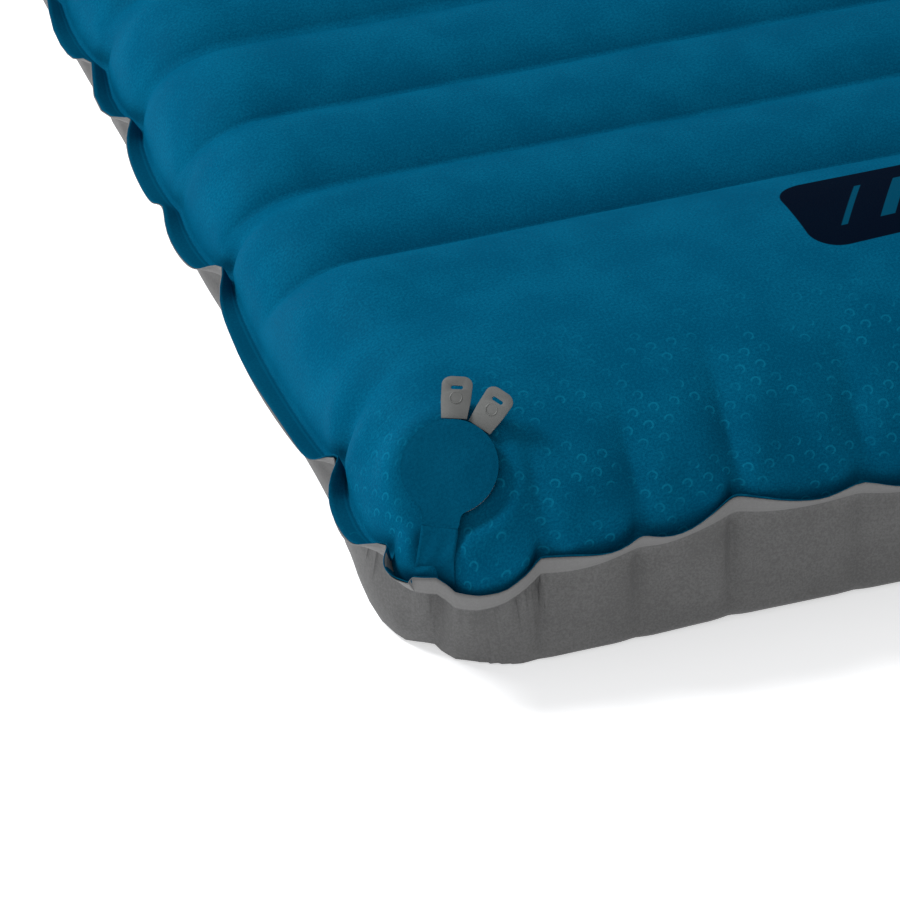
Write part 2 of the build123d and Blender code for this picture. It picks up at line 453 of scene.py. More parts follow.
    def draw_in(self, side: Side, at: np.ndarray) -> np.ndarray:
        """How far the edge weld draws in: short gathers at the ends, and long lobes on the sides.

        Args:
            side: The side.
            at: Places along it.

        Returns:
            Distances, in metres.
        """
        if side in (Side.HEAD, Side.FOOT):
            return self.gather(side, at, "pull", 0.0085)
        out = np.zeros_like(at)
        stops = [(0.0, 0.0)] + [(p.at, p.pull) for p in self.puckers[side]]
        stops.append((2 * self.size.half_length, 0.0))
        for (a, pull_a), (b, pull_b) in zip(stops[:-1], stops[1:]):
            t = np.clip((at - a) / (b - a), 0, 1)
            lobe = pull_a * (1 - t) ** 2.4 + pull_b * t**2.4
            out = np.where((at >= a) & (at < b), lobe, out)
        return out + self.inset * smoothstep(at, 0.02, 0.10)

    def flip(self, side: Side, at: np.ndarray) -> np.ndarray:
        """How far up the weld's edge turns, in radians.

        Args:
            side: The side.
            at: Places along it.

        Returns:
            The angles.
        """
        angle = self.rest_flip(side, at)
        for pucker in self.puckers[side]:
            share = np.exp(-(np.abs(at - pucker.at) / 0.0085) ** 1.3)
            angle = angle + np.maximum(pucker.flip - angle, 0) * share
        return np.radians(np.clip(angle, -10, 84))


@dataclass
class ValveSeat:
    """The flat seat for the valve and the valve's own axes.

    Attributes:
        origin: The middle of the seat.
        across: The unit vector across the valve.
        up: The unit vector up the slope.
        out: The unit vector out of the pad.
        hole: The radius of the hole in the sheet.
    """

    origin: np.ndarray
    across: np.ndarray
    up: np.ndarray
    out: np.ndarray
    hole: float = 0.0160

    @classmethod
    def from_record(cls) -> "ValveSeat":
        """Finds the seat from the record's pump port, which lies on the valve's axis."""
        port = next(m for m in frame["record"]["mounts"] if m["name"] == "pump_port")
        out = np.array(port["axis"], float)
        out /= np.linalg.norm(out)
        across = np.array([-out[1], out[0], 0.0])
        across /= np.linalg.norm(across)
        up = np.cross(out, across)
        return cls(np.array(port["pos_m"]) - 0.0028 * out, across, up, out)

    def local(self, points: np.ndarray) -> np.ndarray:
        """Points in the valve's own axes.

        Args:
            points: Points in the pad's frame.

        Returns:
            The same points as across, up and out distances.
        """
        return (points - self.origin) @ np.stack([self.across, self.up, self.out], axis=1)

    def world(self, points: np.ndarray) -> np.ndarray:
        """Points in the pad's frame.

        Args:
            points: Points in the valve's own axes.

        Returns:
            The same points in the pad's frame.
        """
        return self.origin + points @ np.stack([self.across, self.up, self.out], axis=0)

    def press(self, points: np.ndarray) -> np.ndarray:
        """Presses fabric flat under the valve and down along the strap.

        Args:
            points: Points on the top sheet.

        Returns:
            The points after pressing.
        """
        p = self.local(points)
        u, v, w = p[..., 0].copy(), p[..., 1].copy(), p[..., 2].copy()
        r = np.hypot(u, v)
        near = (r < 0.09) & (w > -0.05)
        land = 1 - smoothstep(r, 0.0225, 0.034)
        w_new = w * (1 - land)
        ceiling = 0.0010 + 0.30 * np.clip(r - 0.040, 0, None) + 6.0 * np.clip(r - 0.045, 0, None) ** 1.5
        side = np.clip(np.abs(u) - 0.0085, 0, None)
        groove = 0.0013 + 0.9 * side + 22.0 * side**2
        below = smoothstep(-v, 0.012, 0.022)
        ceiling = np.where(v > 0, ceiling, ceiling + 0.5)
        limit = np.minimum(ceiling, groove + (1 - below) * 0.5)
        w_new = np.where(w_new > limit, limit, w_new)
        p[..., 2] = np.where(near, w_new, w)
        return self.world(p)


@dataclass
class ShellSheet:
    """One of the pad's two sheets, with its share of the edge weld.

    Attributes:
        face: Which sheet it is.
        size: The pad's sizes.
        edge: The edge weld's run.
        seat: The valve's seat.
        thickness: The sheet's thickness.
    """

    face: Face
    size: PadSize
    edge: Edge
    seat: ValveSeat
    thickness: float = 0.0003

    def _columns(self) -> np.ndarray:
        """Places across the pad for the mesh's columns."""
        half = self.size.half_width
        fine, coarse = (0.0029, 0.0085) if self.face is Face.TOP else (0.0040, 0.0120)

        def step(x: np.ndarray) -> np.ndarray:
            """The spacing wanted at x."""
            base = fine + (coarse - fine) * smoothstep(x, -0.10, 0.02)
            for pucker in self.edge.puckers[Side.HEAD][:4]:
                base = base - 0.55 * fine * np.exp(-(((x + half - pucker.at) / 0.006) ** 4))
            d = half - np.abs(x)
            curve = np.sqrt(np.clip(1 - (1 - np.clip(d / 0.040, 0, 1)) ** 2, 0, 1))
            return np.minimum(base, 0.0042) * curve * (d < 0.04) + base * (d >= 0.04) + 0.00012

        return graded(-half, half, step)

    def _rows(self) -> np.ndarray:
        """Places along the pad for the mesh's rows, with one on every weld line."""
        half, webs = self.size.half_length, self.size.web_lines()
        top = self.face is Face.TOP
        fine = 0.0030 if top else 0.0045
        level = np.linspace(0, 1, 19)[:-1]
        wall = self.size.end_wall * (1 - (1 - level**3) ** (1 / 3))

        def head_step(y: np.ndarray) -> np.ndarray:
            """The spacing wanted at y near the head end."""
            d = y + half
            if not top:
                return 0.0006 + (fine - 0.0006) * smoothstep(d, 0.004, 0.030)
            near = 1 - np.clip(d / self.size.head_round, 0, 1)
            return fine * np.sqrt(np.clip(1 - near**2, 0, 1)) + 0.00012

        def foot_step(y: np.ndarray) -> np.ndarray:
            """The spacing wanted at y near the foot end."""
            d = half - y
            if not top:
                return 0.0006 + (fine - 0.0006) * smoothstep(d, 0.004, 0.030)
            near = 1 - np.clip(d / self.size.foot_round, 0, 1)
            return 0.0045 * np.sqrt(np.clip(1 - near**2, 0, 1)) + 0.0002

        start = -half if top else -half + self.size.end_wall
        rows = [] if top else [wall - half]
        rows.append(graded(start, webs[0], head_step))
        for i, web in enumerate(webs[:-1]):
            count = 16 if i < 3 else 8
            t = np.linspace(0, 1, count + 1)[1:]
            t = t - 0.55 * np.sin(2 * math.pi * t) / (2 * math.pi)
            rows.append(web + t * self.size.pitch)
        end = half if top else half - self.size.end_wall
        rows.append(graded(webs[-1], end, foot_step)[1:])
        if not top:
            rows.append(half - wall[::-1])
        return np.concatenate(rows)

    def _round_corners(self, x: np.ndarray, y: np.ndarray) -> tuple:
        """Moves the grid's square corners onto rounded ones.

        Args:
            x: The grid's x at each point.
            y: The grid's y at each point.

        Returns:
            The moved x and y.
        """
        r = self.size.corner
        p = np.clip((np.abs(x) - (self.size.half_width - r)) / r, 0, 1)
        q = np.clip((np.abs(y) - (self.size.half_length - r)) / r, 0, 1)
        px = p * np.sqrt(1 - q * q / 2)
        qy = q * np.sqrt(1 - p * p / 2)
        return x + np.sign(x) * (px - p) * r, y + np.sign(y) * (qy - q) * r

    def _surface(self, xs: np.ndarray, ys: np.ndarray) -> np.ndarray:
        """The sheet's inflated form before its gathers.

        Args:
            xs: The columns' places.
            ys: The rows' places.

        Returns:
            Points, rows by columns by three.
        """
        gx, gy = np.meshgrid(xs, ys)
        if self.face is Face.TOP:
            rise = self.size.tube_height(ys)[:, None] * self.size.side_fall(xs, ys)
        else:
            rise = -self.size.depth_below(xs, ys)
        px, py = self._round_corners(gx, gy)
        return np.stack([px, py, self.size.seam + rise], axis=-1)

    @staticmethod
    def _normals(points: np.ndarray) -> np.ndarray:
        """Upward unit normals of a grid of points.

        Args:
            points: Points, rows by columns by three.

        Returns:
            Normals in the same layout.
        """
        across = np.gradient(points, axis=1)
        along = np.gradient(points, axis=0)
        n = np.cross(across, along)
        return n / np.maximum(np.linalg.norm(n, axis=-1, keepdims=True), 1e-12)

    def _gather_side(self, points: np.ndarray, base: np.ndarray, side: Side) -> np.ndarray:
        """Works one side's gathers into the sheet.

        Args:
            points: The sheet's points so far.
            base: The sheet's points before any gathers.
            side: The side.

        Returns:
            The points with that side's gathers.
        """
        flip_axis = side in (Side.LEFT, Side.RIGHT)
        grid = np.swapaxes(base, 0, 1) if flip_axis else base
        if side in (Side.FOOT, Side.RIGHT):
            grid = grid[::-1]
        steps = np.linalg.norm(np.diff(grid, axis=0), axis=-1)
        run = np.concatenate([np.zeros((1, grid.shape[1])), np.cumsum(steps, axis=0)], axis=0)
        half = self.size.half_length if flip_axis else self.size.half_width
        at = grid[..., 1 if flip_axis else 0] + half
        move = np.zeros_like(grid)
        inward = {
            Side.HEAD: np.array([0, 1.0, 0]),
            Side.FOOT: np.array([0, -1.0, 0]),
            Side.LEFT: np.array([1.0, 0, 0]),
            Side.RIGHT: np.array([-1.0, 0, 0]),
        }[side]
        top = self.face is Face.TOP
        normal = self._normals(base)
        if flip_axis:
            normal = np.swapaxes(normal, 0, 1)
        if side in (Side.FOOT, Side.RIGHT):
            normal = normal[::-1]
        if not top:
            normal = -normal
        taper = np.exp(-((run / (0.020 if top else 0.014)) ** 1.4))
        move += inward * (self.edge.draw_in(side, at) * taper)[..., None]
        lift = self.edge.gather(side, at, "lift", 0.012, 1.6) + self.edge.rise(side, at)
        corner = np.minimum(at, 2 * half - at)
        share = smoothstep(corner, -0.001, 0.020) if flip_axis else 1.0
        move[..., 2] += lift * share * np.exp(-((run / (0.020 if top else 0.030)) ** 1.3))
        bulge = np.zeros_like(run)
        crease = np.zeros_like(run)
        for pucker in self.edge.puckers[side]:
            reach = pucker.reach if top else 0.048 + 0.030 * (pucker.at < 0.030)
            t = run / reach
            centre = pucker.at + (pucker.lean if top else 0.0) * np.clip(t, 0, 1)
            width = 0.0034 + 0.0060 * np.clip(t, 0, 1) if top else 0.0024 + 0.0010 * t
            fade = np.clip(1 - t, 0, 1) ** (1.1 if top else 0.6) * (1 if top else 0.80)
            fade = fade * smoothstep(run, 0.0, 0.005)
            delta = np.abs(at - centre)
            crease += pucker.depth * fade * np.exp(-((delta / width) ** 1.15))
            shoulder = np.exp(-(((delta - 2.3 * width) / (1.4 * width)) ** 2))
            bulge += 0.30 * pucker.depth * fade * shoulder * smoothstep(run, 0.004, 0.014)
        move += normal * (bulge - crease)[..., None]
        if side in (Side.FOOT, Side.RIGHT):
            move = move[::-1]
        if flip_axis:
            move = np.swapaxes(move, 0, 1)
        return points + move

    def _softness(self, points: np.ndarray, base: np.ndarray) -> np.ndarray:
        """Adds the small unevenness of taut fabric.

        Args:
            points: The sheet's points so far.
            base: The sheet's points before any gathers.

        Returns:
            The points with slow, shallow waves.
        """
        x, y = base[..., 0], base[..., 1]
        wave = (
            0.35 * np.sin(31 * x + 4.0 * np.sin(9 * y))
            + 0.30 * np.sin(23 * y + 3.0 * np.sin(13 * x) + 1.0)
            + 0.20 * np.sin(67 * x - 41 * y + 2.0)
        )
        inner = smoothstep(points[..., 2] - self.size.seam, 0.008, 0.028)
        if self.face is Face.BOTTOM:
            return points
        return points + self._normals(points) * (0.0007 * wave * inner)[..., None]

    def _boundary(self, rows: int, columns: int) -> list:
        """The grid's outline, walked once round.

        Args:
            rows: How many rows the grid has.
            columns: How many columns it has.

        Returns:
            (row, column, side) for each outline point in turn.
        """
        walk = [(0, j, Side.HEAD) for j in range(columns - 1)]
        walk += [(i, columns - 1, Side.RIGHT) for i in range(rows - 1)]
        walk += [(rows - 1, j, Side.FOOT) for j in range(columns - 1, 0, -1)]
        walk += [(i, 0, Side.LEFT) for i in range(rows - 1, 0, -1)]
        return walk

    def _turn(self, plan: np.ndarray, walk: list) -> np.ndarray:
        """How far up the edge weld turns at each point of the outline.

        Args:
            plan: The outline's points before any gathers.
            walk: The outline's (row, column, side).

        Returns:
            Angles in radians, smoothed along the outline.
        """
        turn = np.zeros(len(walk))
        for side in Side:
            mine = np.array([s is side for _, _, s in walk])
            along = 1 if side in (Side.LEFT, Side.RIGHT) else 0
            half = self.size.half_length if along else self.size.half_width
            turn[mine] = self.edge.flip(side, plan[mine, along] + half)
        kernel = np.array([1, 2, 1]) / 4
        for _ in range(2):
            wrapped = np.concatenate([turn[-1:], turn, turn[:1]])
            turn = np.convolve(wrapped, kernel, mode="valid")
        return turn

    def build(self) -> bpy.types.Object:
        """Builds the sheet with its edge weld, and the valve's hole in the top one.

        Returns:
            The sheet as one closed, thin mesh.
        """
        xs, ys = self._columns(), self._rows()
        rows, columns = len(ys), len(xs)
        base = self._surface(xs, ys)
        points = base.copy()
        for side in Side:
            points = self._gather_side(points, base, side)
        points = self._softness(points, base)
        walk = self._boundary(rows, columns)
        if self.face is Face.TOP:
            rim = [(i, j, points[i, j].copy()) for i, j, _ in walk]
            points = self.seat.press(points)
            for i, j, spot in rim:
                points[i, j] = spot
        else:
            points[..., 2] = np.maximum(points[..., 2], 0.0)

        ring = np.array([points[i, j] for i, j, _ in walk])
        plan = np.array([base[i, j] for i, j, _ in walk])
        ahead = np.roll(plan, -1, axis=0) - np.roll(plan, 1, axis=0)
        ahead /= np.linalg.norm(ahead, axis=1, keepdims=True)
        outward = np.stack([ahead[:, 1], -ahead[:, 0], np.zeros(len(walk))], axis=1)
        turn = self._turn(plan, walk)
        lay = 0.00042 if self.face is Face.TOP else -0.00042
        up = np.array([0, 0, 1.0])
        direction = outward * np.cos(turn)[:, None] + up * np.sin(turn)[:, None]
        square = -outward * np.sin(turn)[:, None] + up * np.cos(turn)[:, None]
        shares = [0.10, 0.22, 0.34, 0.55, 0.78, 1.0]
        ridge = [1.0, 0.8, 1.0, 1.0, 1.0, 1.0]
        flange = []
        curl = 1.0 + 0.05 * np.sin(np.arange(len(walk)) * 0.21)
        for k, (i, j, _) in enumerate(walk):
            points[i, j] = ring[k] + square[k] * lay * 0.8
        for share, level in zip(shares, ridge):
            reach = self.size.flange * share * np.where(share > 0.9, curl, 1.0)
            flange.append(ring + direction * reach[:, None] + square * lay * level)

        index = np.arange(rows * columns).reshape(rows, columns)
        verts = [points.reshape(-1, 3)]
        faces = []
        for i in range(rows - 1):
            a, b = index[i], index[i + 1]
            faces += [(a[j], a[j + 1], b[j + 1], b[j]) for j in range(columns - 1)]
        previous = [int(index[i, j]) for i, j, _ in walk]
        count = rows * columns
        n = len(walk)
        for loop in flange:
            verts.append(loop)
            current = list(range(count, count + n))
            count += n
            faces += [
                (previous[k], current[k], current[(k + 1) % n], previous[(k + 1) % n]) for k in range(n)
            ]
            previous = current
        if self.face is Face.BOTTOM:
            faces = [f[::-1] for f in faces]
        spots = np.concatenate(verts)
        flat_u, flat_v = np.meshgrid(run_length(base[rows // 2]), run_length(base[:, columns // 2]))
        flat = [np.stack([flat_u, flat_v], axis=-1).reshape(-1, 2)]
        edge_flat = np.array([[flat_u[i, j], flat_v[i, j]] for i, j, _ in walk])
        flat += [edge_flat + outward[:, :2] * self.size.flange * share for share in shares]
        zone = np.zeros(len(spots))
        for k, share in enumerate(shares):
            zone[rows * columns + k * n : rows * columns + (k + 1) * n] = share
        faces = [tuple(int(v) for v in f) for f in faces]
        piece = mesh_object(f"{self.face.value}_fabric", spots, faces)
        self._lay_flat(piece, np.concatenate(flat), zone)
        if self.face is Face.TOP:
            self._cut_hole(piece)
        give_thickness(piece, self.thickness)
        return piece

    @staticmethod
    def _lay_flat(piece: bpy.types.Object, flat: np.ndarray, zone: np.ndarray) -> None:
        """Gives the sheet a map of its flat fabric and an attribute for its edge weld.

        Args:
            piece: The sheet.
            flat: Each point's place on the flat fabric, in metres.
            zone: How far out on the edge weld each point is, from 0 to 1.
        """
        mesh = piece.data
        layer = mesh.uv_layers.new(name="fabric")
        corner = np.empty(len(mesh.loops), dtype=np.int32)
        mesh.loops.foreach_get("vertex_index", corner)
        layer.data.foreach_set("uv", flat[corner].astype(np.float32).ravel())
        weld = mesh.attributes.new("weld", "FLOAT", "POINT")
        weld.data.foreach_set("value", zone.astype(np.float32))

    def _cut_hole(self, piece: bpy.types.Object) -> None:
        """Opens the top sheet inside the valve's neck, with a round rim.

        Args:
            piece: The top sheet's surface.
        """
        work = bmesh.new()
        work.from_mesh(piece.data)
        spots = np.array([v.co[:] for v in work.verts])
        local = self.seat.local(spots)
        radius = np.hypot(local[:, 0], local[:, 1])
        flat = np.abs(local[:, 2]) < 0.004
        inside = [v for v, r, ok in zip(work.verts, radius, flat) if ok and r < self.seat.hole]
        bmesh.ops.delete(work, geom=inside, context="VERTS")
        rim = {v for e in work.edges if e.is_boundary for v in e.verts}
        for v in rim:
            p = self.seat.local(np.array(v.co[:]))
            r = math.hypot(p[0], p[1])
            if r < self.seat.hole + 0.006 and abs(p[2]) < 0.004:
                p[:2] *= self.seat.hole / r
                p[2] = 0.0
                v.co = Vector(self.seat.world(p))
        work.to_mesh(piece.data)
        work.free()
        piece.data.update()


# ---------------------------------------------------------------- valve cover and strap


@dataclass
class CapCover:
    """The round fabric cover on the small cap, with its neck.

    Attributes:
        seat: The valve's axes.
        radius: The cover's radius.
        neck: Half the neck's width.
        reach: How far the neck runs from the middle.
        top: The height of the small cap's top above the seat.
        fillet: How softly the disc runs into the neck.
    """

    seat: ValveSeat
    radius: float = 0.0198
    neck: float = 0.0075
    reach: float = 0.0251
    top: float = 0.00415
    fillet: float = 0.0016

    def _outline(self, angle: float) -> float:
        """The cover's outline.

        Args:
            angle: The angle from straight down the slope, in radians.

        Returns:
            The outline's distance from the middle.
        """
        a = abs(angle)
        if a > math.pi / 2:
            return self.radius
        side = min(self.neck / max(math.sin(a), 1e-6), self.reach / math.cos(a))
        gap = (side - self.radius) / self.fillet
        return self.radius + self.fillet * math.log1p(math.exp(min(gap, 30.0)))

    def height(self, u: float, v: float) -> float:
        """The height of the cover's underside above the seat.

        Args:
            u: The place across.
            v: The place up the slope.

        Returns:
            The height.
        """
        r = math.hypot(u, v)
        sag = 0.00035 * smoothstep(r, 0.0165, 0.0198)
        fall = 0.0011 * smoothstep(-v, 0.0205, 0.0262)
        soft = 0.00018 * math.sin(u * 260) * math.cos(v * 210)
        return self.top + 0.00035 - float(sag) - float(fall) + soft * float(1 - smoothstep(r, 0.012, 0.018))

    def build(self) -> bpy.types.Object:
        """Builds the cover.

        Returns:
            The cover as a closed thin mesh.
        """
        spokes, rings = 160, 22
        verts = [self.seat.world(np.array([0, 0, self.height(0, 0) + 0.0006]))]
        faces = []
        for k in range(1, rings + 1):
            share = math.sin(0.5 * math.pi * k / rings) if k < rings else 1.0
            for s in range(spokes):
                a = 2 * math.pi * s / spokes
                bend = (a + math.pi) % (2 * math.pi) - math.pi
                rho = self._outline(bend) * share
                u, v = rho * math.sin(bend), -rho * math.cos(bend)
                verts.append(self.seat.world(np.array([u, v, self.height(u, v) + 0.0006])))
        for s in range(spokes):
            faces.append((0, 1 + s, 1 + (s + 1) % spokes))
        for k in range(rings - 1):
            a, b = 1 + k * spokes, 1 + (k + 1) * spokes
            faces += [
                (a + s, b + s, b + (s + 1) % spokes, a + (s + 1) % spokes) for s in range(spokes)
            ]
        piece = mesh_object("cover_fabric", np.array(verts), faces)
        wall = piece.modifiers.new("wall", "SOLIDIFY")
        wall.thickness = 0.0006
        wall.offset = -1.0
        rim = piece.modifiers.new("rim", "BEVEL")
        rim.width = 0.00022
        rim.segments = 2
        rim.limit_method = "ANGLE"
        apply_modifiers(piece)
        return piece


@dataclass
class Strap:
    """The fabric strap from the corner of the edge weld to the cover's neck.

    Attributes:
        seat: The valve's axes.
        half: Half the strap's width at the neck.
        foot: Half its width at the edge weld.
        start: Where it meets the neck, down the slope from the middle.
        end: Where it runs into the edge weld.
        thickness: The strap's thickness.
    """

    seat: ValveSeat
    half: float = 0.0075
    foot: float = 0.0083
    start: float = 0.0251
    end: float = 0.0490
    thickness: float = 0.0006

    def build(self) -> bpy.types.Object:
        """Builds the strap.

        Returns:
            The strap as a closed thin mesh.
        """
        along, across = 44, 14
        verts = []
        for i in range(along + 1):
            d = self.start + (self.end - self.start) * i / along
            t = i / along
            half = self.half + (self.foot - self.half) * float(smoothstep(t, 0.5, 1.0))
            drop = np.interp(
                d,
                [0.0251, 0.0270, 0.0290, 0.0320, 0.0370, 0.0400, 0.0440, 0.0490],
                [0.00385, 0.00365, 0.00315, 0.00262, 0.00220, 0.00130, -0.0025, -0.0100],
            )
            for j in range(across + 1):
                u = half * (2 * j / across - 1)
                cup = 0.00035 * (u / half) ** 2 - 0.0022 * float(smoothstep(d, 0.036, 0.045)) * u / half
                crease = 0.00025 * math.sin(u * 900 + d * 260)
                verts.append(self.seat.world(np.array([u, -d, drop + cup + crease * t * (1 - t) * 3])))
        stride = across + 1
        faces = [
            (i * stride + j, (i + 1) * stride + j, (i + 1) * stride + j + 1, i * stride + j + 1)
            for i in range(along)
            for j in range(across)
        ]
        piece = mesh_object("strap_fabric", np.array(verts), faces)
        give_thickness(piece, self.thickness)
        return piece


@dataclass
class PullTab:
    """A moulded pull tab with a rounded tip, a slot and a raised round mark.

    Attributes:
        name: The piece's name.
        node: The CAD node it stands for.
        cap: The body of the cap it grows from; not used.
        body: The body its tip rides on; not used.
        seat: The valve's axes.
        turn: Its angle about the valve's axis, in degrees.
        middle: The height of its middle above the seat.
        droop: How far it droops, in degrees.
        length: Its length beyond the cap's rim.
        root: Half its width at the rim.
        waist: Half its width at its narrowest.
        tip: Half its width at the tip.
        thickness: Its thickness.
        curl: How far its tip curls up.
        mark_share: How far along it the round mark is, from 0 to 1.
    """

    name: str
    node: str
    cap: str
    body: str
    seat: ValveSeat
    turn: float
    middle: float
    droop: float
    length: float = 0.0175
    root: float = 0.00520
    waist: float = 0.00600
    tip: float = 0.00625
    thickness: float = 0.0009
    curl: float = 0.0009
    mark_share: float = 0.50

    def _place(self) -> Matrix:
        """The transform from the tab's own axes to the pad's frame."""
        axes = np.stack([self.seat.across, self.seat.up, self.seat.out], axis=1)
        base = Matrix([list(row) for row in axes]).to_4x4()
        base.translation = Vector(self.seat.origin)
        spin = Matrix.Rotation(math.radians(self.turn), 4, "Z")
        out = Matrix.Translation(Vector((0, 0.0202, 0)))
        lift = Matrix.Translation(Vector((0, 0, self.middle)))
        tip = Matrix.Rotation(math.radians(-self.droop), 4, "X")
        return base @ lift @ spin @ out @ tip

    def at(self, reach: float) -> tuple:
        """A point on the tab's middle line.

        Args:
            reach: How far it is beyond the tab's root.

        Returns:
            The point in the pad's frame.
        """
        return tuple(self._place() @ Vector((0, reach, 0)))

    def build(self) -> bpy.types.Object:
        """Models the tab from a block, and cuts its slot.

        Returns:
            The finished tab.
        """
        deselect_all()
        bpy.ops.mesh.primitive_cube_add(size=1.0)
        tab = bpy.context.active_object
        tab.name = self.name
        tab.data.name = self.name
        tab.scale = (2 * self.root, self.length, self.thickness)
        tab.location = (0, self.length / 2, 0)
        bpy.ops.object.transform_apply(location=True, rotation=True, scale=True)
        bpy.ops.object.mode_set(mode="EDIT")
        bpy.ops.mesh.select_mode(type="EDGE")
        shape = bmesh.from_edit_mesh(tab.data)
        bpy.ops.mesh.select_all(action="DESELECT")
        for e in shape.edges:
            a, b = e.verts
            upright = abs(a.co.z - b.co.z) > self.thickness * 0.5
            e.select_set(upright and a.co.y > self.length * 0.9)
        bmesh.update_edit_mesh(tab.data)
        bpy.ops.mesh.bevel(offset=0.0034, segments=8, affect="EDGES")
        for step in (0.14, 0.28, 0.42, 0.56, 0.70):
            bpy.ops.mesh.select_all(action="SELECT")
            bpy.ops.mesh.bisect(plane_co=(0, self.length * step, 0), plane_no=(0, 1, 0))
        bpy.ops.object.mode_set(mode="OBJECT")
        for v in tab.data.vertices:
            t = v.co.y / self.length
            half = np.interp(t, [0.0, 0.42, 0.8, 1.0], [self.root, self.waist, self.tip, self.tip])
            v.co.x *= half / self.root
            v.co.z += self.curl * t * t
        deselect_all()
        bpy.ops.mesh.primitive_cylinder_add(vertices=24, radius=0.0008, depth=0.004)
        slot = bpy.context.active_object
        slot.location = (0, self.length - 0.0045, 0.0006)
        for v in slot.data.vertices:
            v.co.x += 0.0017 if v.co.x > 0 else -0.0017
        bpy.ops.object.transform_apply(location=True, rotation=True, scale=True)
        cut = tab.modifiers.new("slot", "BOOLEAN")
        cut.operation = "DIFFERENCE"
        cut.solver = "EXACT"
        cut.object = slot
        apply_modifiers(tab)
        bpy.data.objects.remove(slot, do_unlink=True)
        soft = tab.modifiers.new("soft_edges", "BEVEL")
        soft.width = 0.00018
        soft.segments = 2
        soft.limit_method = "ANGLE"
        soft.angle_limit = math.radians(50)
        apply_modifiers(tab)
        mark = self._mark()
        deselect_all()
        tab.select_set(True)
        mark.select_set(True)
        bpy.context.view_layer.objects.active = tab
        bpy.ops.object.join()
        tab.data.transform(self._place())
        deselect_all()
        tab.select_set(True)
        bpy.context.view_layer.objects.active = tab
        bpy.ops.object.shade_smooth_by_angle(angle=math.radians(35))
        return tab

    def _mark(self) -> bpy.types.Object:
        """Models the raised round mark below the slot."""
        deselect_all()
        bpy.ops.mesh.primitive_torus_add(
            major_radius=0.0024, minor_radius=0.00022, major_segments=36, minor_segments=8
        )
        mark = bpy.context.active_object
        height = self.thickness / 2 + self.curl * self.mark_share**2
        mark.location = (0, self.length * self.mark_share, height)
        bpy.ops.object.transform_apply(location=True, rotation=True, scale=True)
        return mark


# ---------------------------------------------------------------- finishes


class Nodes:
    """A short way to add and join nodes in one node tree."""

    def __init__(self, tree: bpy.types.NodeTree) -> None:
        """Keeps the tree.

        Args:
            tree: The node tree that nodes are added to.
        """
        self.tree = tree

    def add(self, kind: str, **settings) -> bpy.types.Node:
        """Adds a node.

        Args:
            kind: The node's type.
            **settings: Its settings, by name.

        Returns:
            The node.
        """
        node = self.tree.nodes.new(kind)
        for key, value in settings.items():
            setattr(node, key, value)
        return node

    def math(self, operation: str, a, b=None, c=None) -> bpy.types.NodeSocket:
        """Adds a math node.

        Args:
            operation: The operation.
            a: The first value or socket.
            b: The second value or socket.
            c: The third value or socket.

        Returns:
            The node's output.
        """
        node = self.add("ShaderNodeMath", operation=operation)
        for slot, value in enumerate((a, b, c)):
            if value is None:
                continue
            if isinstance(value, (int, float)):
                node.inputs[slot].default_value = value
            else:
                self.tree.links.new(value, node.inputs[slot])
        return node.outputs[0]

    def ramp(self, value, low: float, high: float, start: float = 0.0, end: float = 1.0):
        """Adds a smooth ramp.

        Args:
            value: The socket it reads.
            low: Where it starts.
            high: Where it ends.
            start: Its value at low.
            end: Its value at high.

        Returns:
            The node's output.
        """
        node = self.add("ShaderNodeMapRange", interpolation_type="SMOOTHSTEP")
        self.tree.links.new(value, node.inputs[0])
        for slot, number in enumerate((low, high, start, end), start=1):
            node.inputs[slot].default_value = number
        return node.outputs[0]

    def mix(self, share, a, b):
        """Mixes two colours.

        Args:
            share: How much of b shows.
            a: The first colour or socket.
            b: The second colour or socket.

        Returns:
            The node's colour output.
        """
        node = self.add("ShaderNodeMix", data_type="RGBA")
        for slot, value in ((0, share), (6, a), (7, b)):
            if isinstance(value, bpy.types.NodeSocket):
                self.tree.links.new(value, node.inputs[slot])
            else:
                node.inputs[slot].default_value = value
        return node.outputs[2]

    def read(self, name: str) -> bpy.types.NodeSocket:
        """Reads one of the mesh's attributes.

        Args:
            name: The attribute.

        Returns:
            Its value.
        """
        return self.add("ShaderNodeAttribute", attribute_name=name).outputs["Fac"]

    def noise(self, where, scale: float, detail: float = 2.0, roughness: float = 0.5):
        """Adds a noise texture.

        Args:
            where: The coordinates it reads.
            scale: Its scale.
            detail: How many finer layers it has.
            roughness: How strong the finer layers are.

        Returns:
            The noise, from 0 to 1.
        """
        node = self.add("ShaderNodeTexNoise")
        node.inputs["Scale"].default_value = scale
        node.inputs["Detail"].default_value = detail
        node.inputs["Roughness"].default_value = roughness
        self.link(where, node.inputs["Vector"])
        return node.outputs["Fac"]

    def bump(self, height, strength: float, depth: float, shader: bpy.types.Node) -> None:
        """Adds fine relief to a finish.

        Args:
            height: The relief's height.
            strength: How strongly it shows.
            depth: How deep it is, in metres.
            shader: The finish that gets it.
        """
        node = self.add("ShaderNodeBump")
        node.inputs["Strength"].default_value = strength
        node.inputs["Distance"].default_value = depth
        self.link(height, node.inputs["Height"])
        self.link(node.outputs["Normal"], shader.inputs["Normal"])

    def link(self, a, b) -> None:
        """Joins two sockets.

        Args:
            a: The output.
            b: The input.
        """
        self.tree.links.new(a, b)


def new_finish(name: str) -> tuple:
    """Starts a material.

    Args:
        name: The finish's name.

    Returns:
        The material, its nodes and its shader.
    """
    material = bpy.data.materials.new(name)
    material.use_nodes = True
    tree = material.node_tree
    return material, Nodes(tree), tree.nodes["Principled BSDF"]


